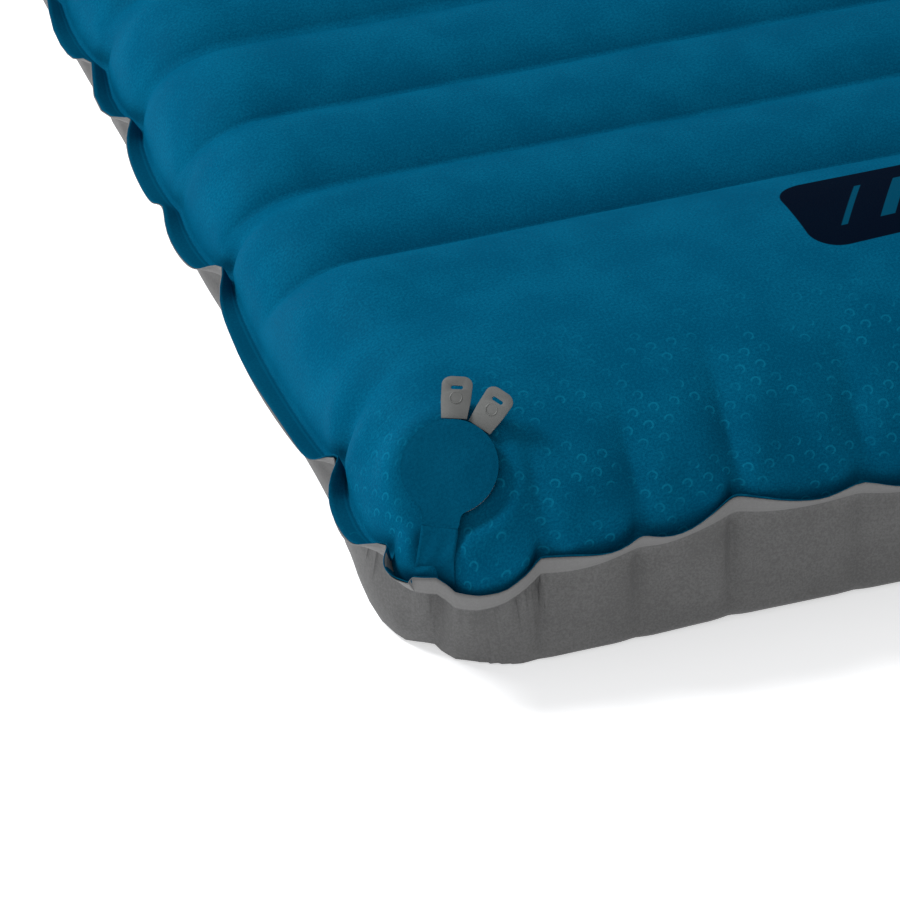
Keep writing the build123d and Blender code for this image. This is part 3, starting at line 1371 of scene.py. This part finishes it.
def socket(tree: bpy.types.NodeTree, name: str, way: str, kind: str = "NodeSocketFloat") -> None:
    """Adds a socket to a node group.

    Args:
        tree: The group.
        name: The socket's name.
        way: INPUT or OUTPUT.
        kind: The socket's type.
    """
    tree.interface.new_socket(name=name, in_out=way, socket_type=kind)


def weave_group() -> bpy.types.NodeTree:
    """Builds the shared fabric grain: fine threads, specks and slow shade changes.

    Returns:
        A group with Vector and Scale inputs and Shade and Height outputs.
    """
    tree = bpy.data.node_groups.new("fabric_grain", "ShaderNodeTree")
    socket(tree, "Vector", "INPUT", "NodeSocketVector")
    socket(tree, "Scale", "INPUT")
    socket(tree, "Shade", "OUTPUT")
    socket(tree, "Height", "OUTPUT")
    n = Nodes(tree)
    inputs, outputs = n.add("NodeGroupInput"), n.add("NodeGroupOutput")
    heights = []
    for direction in ("X", "Y"):
        wave = n.add("ShaderNodeTexWave", wave_type="BANDS", bands_direction=direction, wave_profile="SIN")
        wave.inputs["Distortion"].default_value = 1.2
        wave.inputs["Detail"].default_value = 1.0
        n.link(inputs.outputs["Vector"], wave.inputs["Vector"])
        n.link(inputs.outputs["Scale"], wave.inputs["Scale"])
        heights.append(wave.outputs["Fac"])
    weave = n.math("MULTIPLY", heights[0], heights[1])
    speck = n.noise(inputs.outputs["Vector"], 950.0, 3.0, 0.7)
    slow = n.noise(inputs.outputs["Vector"], 38.0, 3.0)
    fine = n.ramp(speck, 0.30, 0.70, -0.5, 0.5)
    broad = n.ramp(slow, 0.30, 0.70, -0.5, 0.5)
    shade = n.math("MULTIPLY_ADD", fine, 0.8, n.math("MULTIPLY", broad, 0.35))
    n.link(shade, outputs.inputs["Shade"])
    n.link(n.math("MULTIPLY_ADD", fine, 0.6, weave), outputs.inputs["Height"])
    return tree


def mark_group() -> bpy.types.NodeTree:
    """Builds the embossed pattern: small open rings in staggered rows.

    Returns:
        A group with a Vector input in metres and a Mark output.
    """
    tree = bpy.data.node_groups.new("ring_marks", "ShaderNodeTree")
    socket(tree, "Vector", "INPUT", "NodeSocketVector")
    socket(tree, "Mark", "OUTPUT")
    n = Nodes(tree)
    inputs, outputs = n.add("NodeGroupInput"), n.add("NodeGroupOutput")
    apart = n.add("ShaderNodeSeparateXYZ")
    n.link(inputs.outputs["Vector"], apart.inputs[0])
    pitch, squash, radius = 0.0088, 0.82, 0.21
    down = n.math("DIVIDE", apart.outputs[1], pitch * squash)
    row = n.math("FLOOR", down)
    along = n.math("DIVIDE", apart.outputs[0], pitch)
    across = n.math("MULTIPLY_ADD", n.math("MODULO", row, 2.0), 0.5, along)
    x = n.math("SUBTRACT", n.math("FRACT", across), 0.5)
    y = n.math("MULTIPLY", n.math("SUBTRACT", n.math("FRACT", down), 0.5), squash)
    r = n.math("SQRT", n.math("MULTIPLY_ADD", x, x, n.math("MULTIPLY", y, y)))
    outer = n.math("ABSOLUTE", n.math("SUBTRACT", r, radius))
    ring = n.ramp(outer, 0.025, 0.065, 1.0, 0.0)
    gap = n.ramp(n.math("ADD", x, y), -0.22, -0.10, 0.0, 1.0)
    lines = n.math("MULTIPLY", ring, gap)
    worn = n.ramp(n.noise(inputs.outputs["Vector"], 60.0), 0.42, 0.62, 0.05, 1.0)
    n.link(n.math("MULTIPLY", lines, worn), outputs.inputs["Mark"])
    return tree


@dataclass(frozen=True)
class Cloth:
    """A coated woven fabric.

    Attributes:
        name: The finish's name.
        color: Its base colour, linear.
        light: The colour its specks and marks go towards.
        roughness: Its roughness.
        gloss: How strongly it reflects.
        marks: How strongly the ring marks show.
        speck: How strongly the grain shows.
        weld: How much lighter, or darker below 0, the edge weld is painted; the darkening below 0 is
            painted shade, the shade under the tube's bulge.
    """

    name: str
    color: tuple
    light: tuple
    roughness: float = 0.52
    gloss: float = 0.004
    marks: float = 0.0
    speck: float = 0.5
    weld: float = 0.0

    def make(self, grain: bpy.types.NodeTree, rings: bpy.types.NodeTree, panel: bool = False):
        """Builds the material.

        Args:
            grain: The shared fabric grain group.
            rings: The shared ring mark group.
            panel: Whether the crest's printed panel is part of it.

        Returns:
            The material.
        """
        material, n, shader = new_finish(self.name)
        coords = n.add("ShaderNodeTexCoord")
        where = coords.outputs["UV"] if self.marks or panel else coords.outputs["Object"]
        cloth = n.add("ShaderNodeGroup", node_tree=grain)
        cloth.inputs["Scale"].default_value = 420.0
        n.link(where, cloth.inputs["Vector"])
        share = n.math("MULTIPLY_ADD", cloth.outputs["Shade"], self.speck, 0.30)
        color = n.mix(share, (*self.color, 1), (*self.light, 1))
        height = cloth.outputs["Height"]
        if self.marks:
            marks = n.add("ShaderNodeGroup", node_tree=rings)
            n.link(where, marks.inputs["Vector"])
            share = n.math("MULTIPLY", n.read("marks"), self.marks)
            shown = n.math("MULTIPLY", marks.outputs["Mark"], share)
            pale = tuple(c * lift for c, lift in zip(self.light, (3.4, 1.75, 1.55)))
            color = n.mix(shown, color, (*pale, 1))
            height = n.math("MULTIPLY_ADD", shown, 1.6, height)
        # Edge weld tint: a weld value below 0 darkens the weld as painted shade, the shade under the tube's
        # bulge; above 0 it is lightened. A thin lighter line runs along it.
        if self.weld:
            zone = n.read("weld")
            weld_shade_and_tint = 1 + self.weld
            off_line = n.math("ABSOLUTE", n.math("SUBTRACT", zone, 0.24))
            line = n.ramp(off_line, 0.02, 0.09, 1.0, 0.0)
            on = n.ramp(zone, 0.02, 0.12)
            color = n.mix(n.math("MULTIPLY", on, 0.5), color, (*(c * weld_shade_and_tint for c in self.light), 1))
            color = n.mix(n.math("MULTIPLY", n.math("MULTIPLY", line, on), 0.35), color, (*self.light, 1))
        if panel:
            color = self._panel(n, color)
        n.link(color, shader.inputs["Base Color"])
        n.bump(height, 0.55, 0.00006, shader)
        rough = n.math("MULTIPLY_ADD", cloth.outputs["Shade"], 0.10, self.roughness)
        n.link(rough, shader.inputs["Roughness"])
        shader.inputs["Specular IOR Level"].default_value = self.gloss
        return material

    @staticmethod
    def _panel(n: Nodes, color: bpy.types.NodeSocket):
        """Adds the printed panel: a dark rounded plate with plain slanted bars.

        Args:
            n: The material's nodes.
            color: The colour under the print.

        Returns:
            The colour with the print.
        """
        u, v = n.read("print_u"), n.read("print_v")
        half_wide, half_tall, lean, bar_pitch = 0.083, 0.014, -0.6, 0.021
        wide = n.math("SUBTRACT", n.math("ABSOLUTE", u), half_wide)
        tall = n.math("SUBTRACT", n.math("ABSOLUTE", v), half_tall)
        dx, dy = n.math("MAXIMUM", wide, 0.0), n.math("MAXIMUM", tall, 0.0)
        away = n.math("SQRT", n.math("MULTIPLY_ADD", dx, dx, n.math("MULTIPLY", dy, dy)))
        plate = n.ramp(away, 0.0135, 0.0141, 1.0, 0.0)
        leaning = n.math("MULTIPLY_ADD", v, lean, u)
        slant = n.math("DIVIDE", leaning, bar_pitch)
        band = n.math("ABSOLUTE", n.math("SUBTRACT", n.math("FRACT", slant), 0.5))
        stripe = n.ramp(band, 0.145, 0.165, 1.0, 0.0)
        room = n.ramp(n.math("ABSOLUTE", v), 0.0140, 0.0145, 1.0, 0.0)
        ends = n.ramp(n.math("ABSOLUTE", leaning), 0.0728, 0.0735, 1.0, 0.0)
        motif = n.math("MULTIPLY", n.math("MULTIPLY", stripe, room), ends)
        ink = n.mix(motif, (0.0015, 0.0022, 0.0085, 1), (0.001, 0.060, 0.115, 1))
        return n.mix(n.math("MULTIPLY", plate, 0.97), color, ink)


@dataclass(frozen=True)
class Moulding:
    """A moulded plastic or rubber.

    Attributes:
        name: The finish's name.
        color: Its base colour, linear.
        roughness: Its roughness.
        grain: How deep its moulded grain is, in metres.
    """

    name: str
    color: tuple
    roughness: float = 0.45
    grain: float = 0.00003

    def make(self) -> bpy.types.Material:
        """Builds the material.

        Returns:
            The material.
        """
        material, n, shader = new_finish(self.name)
        coords = n.add("ShaderNodeTexCoord")
        fine = n.noise(coords.outputs["Object"], 900.0, 3.0)
        broad = n.noise(coords.outputs["Object"], 70.0)
        dark = tuple(c * 0.80 for c in self.color)
        color = n.mix(n.ramp(broad, 0.3, 0.7), (*dark, 1), (*self.color, 1))
        n.link(color, shader.inputs["Base Color"])
        rough = n.ramp(fine, 0.3, 0.7, self.roughness - 0.05, self.roughness + 0.07)
        n.link(rough, shader.inputs["Roughness"])
        n.bump(fine, 0.5, self.grain, shader)
        return material


def dress(piece: bpy.types.Object, material: bpy.types.Material) -> None:
    """Gives a piece one material.

    Args:
        piece: The piece.
        material: Its material.
    """
    piece.data.materials.clear()
    piece.data.materials.append(material)


# ---------------------------------------------------------------- the stage


@dataclass(frozen=True)
class Studio:
    """The floor, the light and the camera.

    Attributes:
        azimuth: The camera's bearing, in degrees.
        elevation: The camera's height angle, in degrees.
        distance: How far it stands from the pad's corner.
        lens: Its focal length, in millimetres on a 36 mm sensor.
        aside: How far it looks right of the pad's corner.
        above: How far it looks above the pad's corner.
    """

    azimuth: float = -19.313
    elevation: float = 35.735
    distance: float = 3.0
    lens: float = 301.96
    aside: float = 0.0204265
    above: float = 0.0610014

    def camera(self) -> None:
        """Places the camera, which looks a little above and right of the valve's corner."""
        a, e = math.radians(self.azimuth), math.radians(self.elevation)
        back = Vector((math.sin(a) * math.cos(e), -math.cos(a) * math.cos(e), math.sin(e)))
        right = Vector((math.cos(a), math.sin(a), 0.0))
        up = back.cross(right)
        size = PadSize()
        corner = Vector((-size.half_width, -size.half_length, size.seam))
        place = corner + back * self.distance + right * self.aside + up * self.above
        data = bpy.data.cameras.new("camera")
        data.sensor_width = 36.0
        data.lens = self.lens
        data.clip_end = 50.0
        eye = bpy.data.objects.new("camera", data)
        turn = Matrix((right, up, back)).transposed().to_4x4()
        turn.translation = place
        eye.matrix_world = turn
        bpy.context.scene.collection.objects.link(eye)
        bpy.context.scene.camera = eye

    def floor(self) -> None:
        """Lays the pale floor under the pad."""
        deselect_all()
        bpy.ops.mesh.primitive_plane_add(size=14.0, location=(0, 0, -0.0006))
        ground = bpy.context.active_object
        ground.name = "floor"
        material, _, shader = new_finish("floor_white")
        shader.inputs["Base Color"].default_value = (0.93, 0.94, 0.96, 1)
        shader.inputs["Roughness"].default_value = 0.95
        shader.inputs["Specular IOR Level"].default_value = 0.0
        shader.inputs["Emission Color"].default_value = (1, 1, 1, 1)
        shader.inputs["Emission Strength"].default_value = 0.50
        ground.data.materials.append(material)

    def lights(self) -> None:
        """Sets the soft light: a bright room and a broad lamp behind and to the left."""
        world = bpy.data.worlds.new("room")
        bpy.context.scene.world = world
        world.use_nodes = True
        world.node_tree.nodes["Background"].inputs[0].default_value = (1, 1, 1, 1)
        world.node_tree.nodes["Background"].inputs[1].default_value = 0.43
        for name, place, size, power, aim in (
            ("key", (-2.0, 0.9, 2.3), 0.8, 86.0, (-0.1, -0.7, 0.0)),
            ("fill", (-1.8, -2.2, 0.8), 1.4, 4.5, (-0.1, -0.8, 0.05)),
        ):
            data = bpy.data.lights.new(name, "AREA")
            data.size = size
            data.energy = power
            lamp = bpy.data.objects.new(name, data)
            lamp.location = place
            toward = Vector(aim) - Vector(place)
            lamp.rotation_euler = toward.to_track_quat("-Z", "Y").to_euler()
            bpy.context.scene.collection.objects.link(lamp)
        bpy.context.scene.view_settings.view_transform = "Standard"


# ---------------------------------------------------------------- putting it together


def paint_attributes(piece: bpy.types.Object, size: PadSize) -> None:
    """Gives the top sheet its attributes for the ring marks and the printed panel.

    Args:
        piece: The top sheet.
        size: The pad's sizes.
    """
    mesh = piece.data
    co = np.empty(len(mesh.vertices) * 3, dtype=np.float32)
    mesh.vertices.foreach_get("co", co)
    co = co.reshape(-1, 3)
    from_head = co[:, 1] + size.half_length
    slope = 1 - smoothstep(from_head, 0.030, 0.100)
    strength = 0.12 + 0.88 * slope
    for name, values in (
        ("marks", strength),
        ("print_u", co[:, 0]),
        ("print_v", co[:, 1] + 0.786),
    ):
        layer = mesh.attributes.new(name, "FLOAT", "POINT")
        layer.data.foreach_set("value", values.astype(np.float32))


@dataclass
class WebFilm:
    """One of the film webs inside, which tie the top sheet to the bottom sheet between two tubes.

    Attributes:
        name: The web's CAD node.
        node: That node's object, whose edges the film follows.
        thickness: The film's thickness.
    """

    name: str
    node: bpy.types.Object
    thickness: float = 0.0004

    def _edges(self) -> np.ndarray:
        """Finds the film's lower and upper weld along its length.

        Returns:
            A row of x, y, lower z and upper z for each place along the web.
        """
        points = np.array([self.node.matrix_world @ v.co for v in self.node.data.vertices])
        rows = []
        for x in np.unique(np.round(points[:, 0], 4)):
            here = points[np.abs(points[:, 0] - x) < 1e-4]
            rows.append((x, here[:, 1].mean(), here[:, 2].min(), here[:, 2].max()))
        return np.array(rows)

    def build(self) -> bpy.types.Object:
        """Builds the film between its two welds.

        Returns:
            The film as a closed thin mesh.
        """
        ends = self._edges()
        xs = np.linspace(ends[0, 0], ends[-1, 0], 49)
        low, high = np.interp(xs, ends[:, 0], ends[:, 2]), np.interp(xs, ends[:, 0], ends[:, 3])
        middle = ends[:, 1].mean()
        rows = 7
        levels = np.linspace(0, 1, rows)
        ripple = 0.0004
        verts = [
            (x, middle + ripple * math.sin(x * 90) * math.sin(math.pi * t), a + (b - a) * t)
            for x, a, b in zip(xs, low, high)
            for t in levels
        ]
        faces = [
            (i * rows + j, (i + 1) * rows + j, (i + 1) * rows + j + 1, i * rows + j + 1)
            for i in range(len(xs) - 1)
            for j in range(rows - 1)
        ]
        piece = mesh_object(self.name.replace("baffle_web", "film_web"), np.array(verts), faces)
        give_thickness(piece, self.thickness)
        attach(piece, PAD)
        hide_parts(self.name)
        return piece


def main() -> None:
    """Builds every piece and dresses it, logging the sheets, the cover and strap, and the tabs."""
    size = PadSize()
    seat = ValveSeat.from_record()
    edge = Edge(size)
    grain, rings = weave_group(), mark_group()
    # weld=-0.6 darkens the blue edge weld as painted shade under the tube's bulge.
    blue = Cloth(
        "blue_fabric", (0.0002, 0.078, 0.160), (0.0016, 0.125, 0.235), marks=0.44, speck=1.1, weld=-0.6
    )
    grey = Cloth(
        "grey_fabric", (0.110, 0.110, 0.110), (0.165, 0.165, 0.165), gloss=0.05, speck=0.9, weld=0.5
    )
    cover_blue = Cloth("cover_blue", (0.0002, 0.060, 0.122), (0.0014, 0.094, 0.178), speck=0.7)
    film = Cloth("web_film", (0.50, 0.50, 0.50), (0.60, 0.60, 0.60), roughness=0.6)
    plastic = Moulding("tab_grey", (0.150, 0.155, 0.152), roughness=0.42)
    rubber = Moulding("flap_rubber", (0.020, 0.020, 0.020), roughness=0.6)

    blue_material = blue.make(grain, rings, panel=True)
    grey_material = grey.make(grain, rings)
    cover_material = cover_blue.make(grain, rings)
    film_material = film.make(grain, rings)
    plastic_material, rubber_material = plastic.make(), rubber.make()

    for face, node, slot_name, material in (
        (Face.TOP, "top_sheet", "top_fabric", blue_material),
        (Face.BOTTOM, "bottom_sheet", "bottom_fabric", grey_material),
    ):
        sheet = ShellSheet(face, size, edge, seat).build()
        if face is Face.TOP:
            paint_attributes(sheet, size)
        dress(sheet, material)
        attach(sheet, PAD)
        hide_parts(node)
        log.info("%s: %d faces", sheet.name, len(sheet.data.polygons))

    cover = CapCover(seat).build()
    dress(cover, cover_material)
    tuple(seat.world(np.array([0, -0.0247, 0.0041])))
    tuple(seat.world(np.array([0, -0.0215, 0.0041])))
    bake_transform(cover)
    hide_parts("cap_cover")
    strap = Strap(seat).build()
    dress(strap, cover_material)
    tuple(seat.world(np.array([0, -0.0295, 0.0031])))
    tuple(seat.world(np.array([0, -0.0257, 0.0031])))
    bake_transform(strap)
    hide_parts("strap_anchor", "strap_neck")
    log.info("cover and strap built")

    for tab in (
        PullTab("inflate_pull", "inflate_tab", "inflate_cap", "inflate_tab", seat, 4.0, 0.0036, 4.0),
        PullTab("deflate_pull", "deflate_tab", "deflate_cap", "deflate_tab", seat, -26.5, 0.00225, -2.0),
    ):
        piece = tab.build()
        dress(piece, plastic_material)
        tab.at(-0.0003)
        tab.at(0.0030)
        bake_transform(piece)
        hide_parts(tab.node)
        log.info("%s built", tab.name)

    for name, node in frame["nodes"].items():
        if name.startswith("baffle_web"):
            dress(WebFilm(name, node).build(), film_material)
        elif name == "check_flap":
            dress(node, rubber_material)
        elif name in ("deflate_cap", "inflate_cap", "valve_base", "flap_clamp"):
            dress(node, plastic_material)

    studio = Studio()
    studio.floor()
    studio.lights()
    studio.camera()


if __name__ == "__main__":
    main()
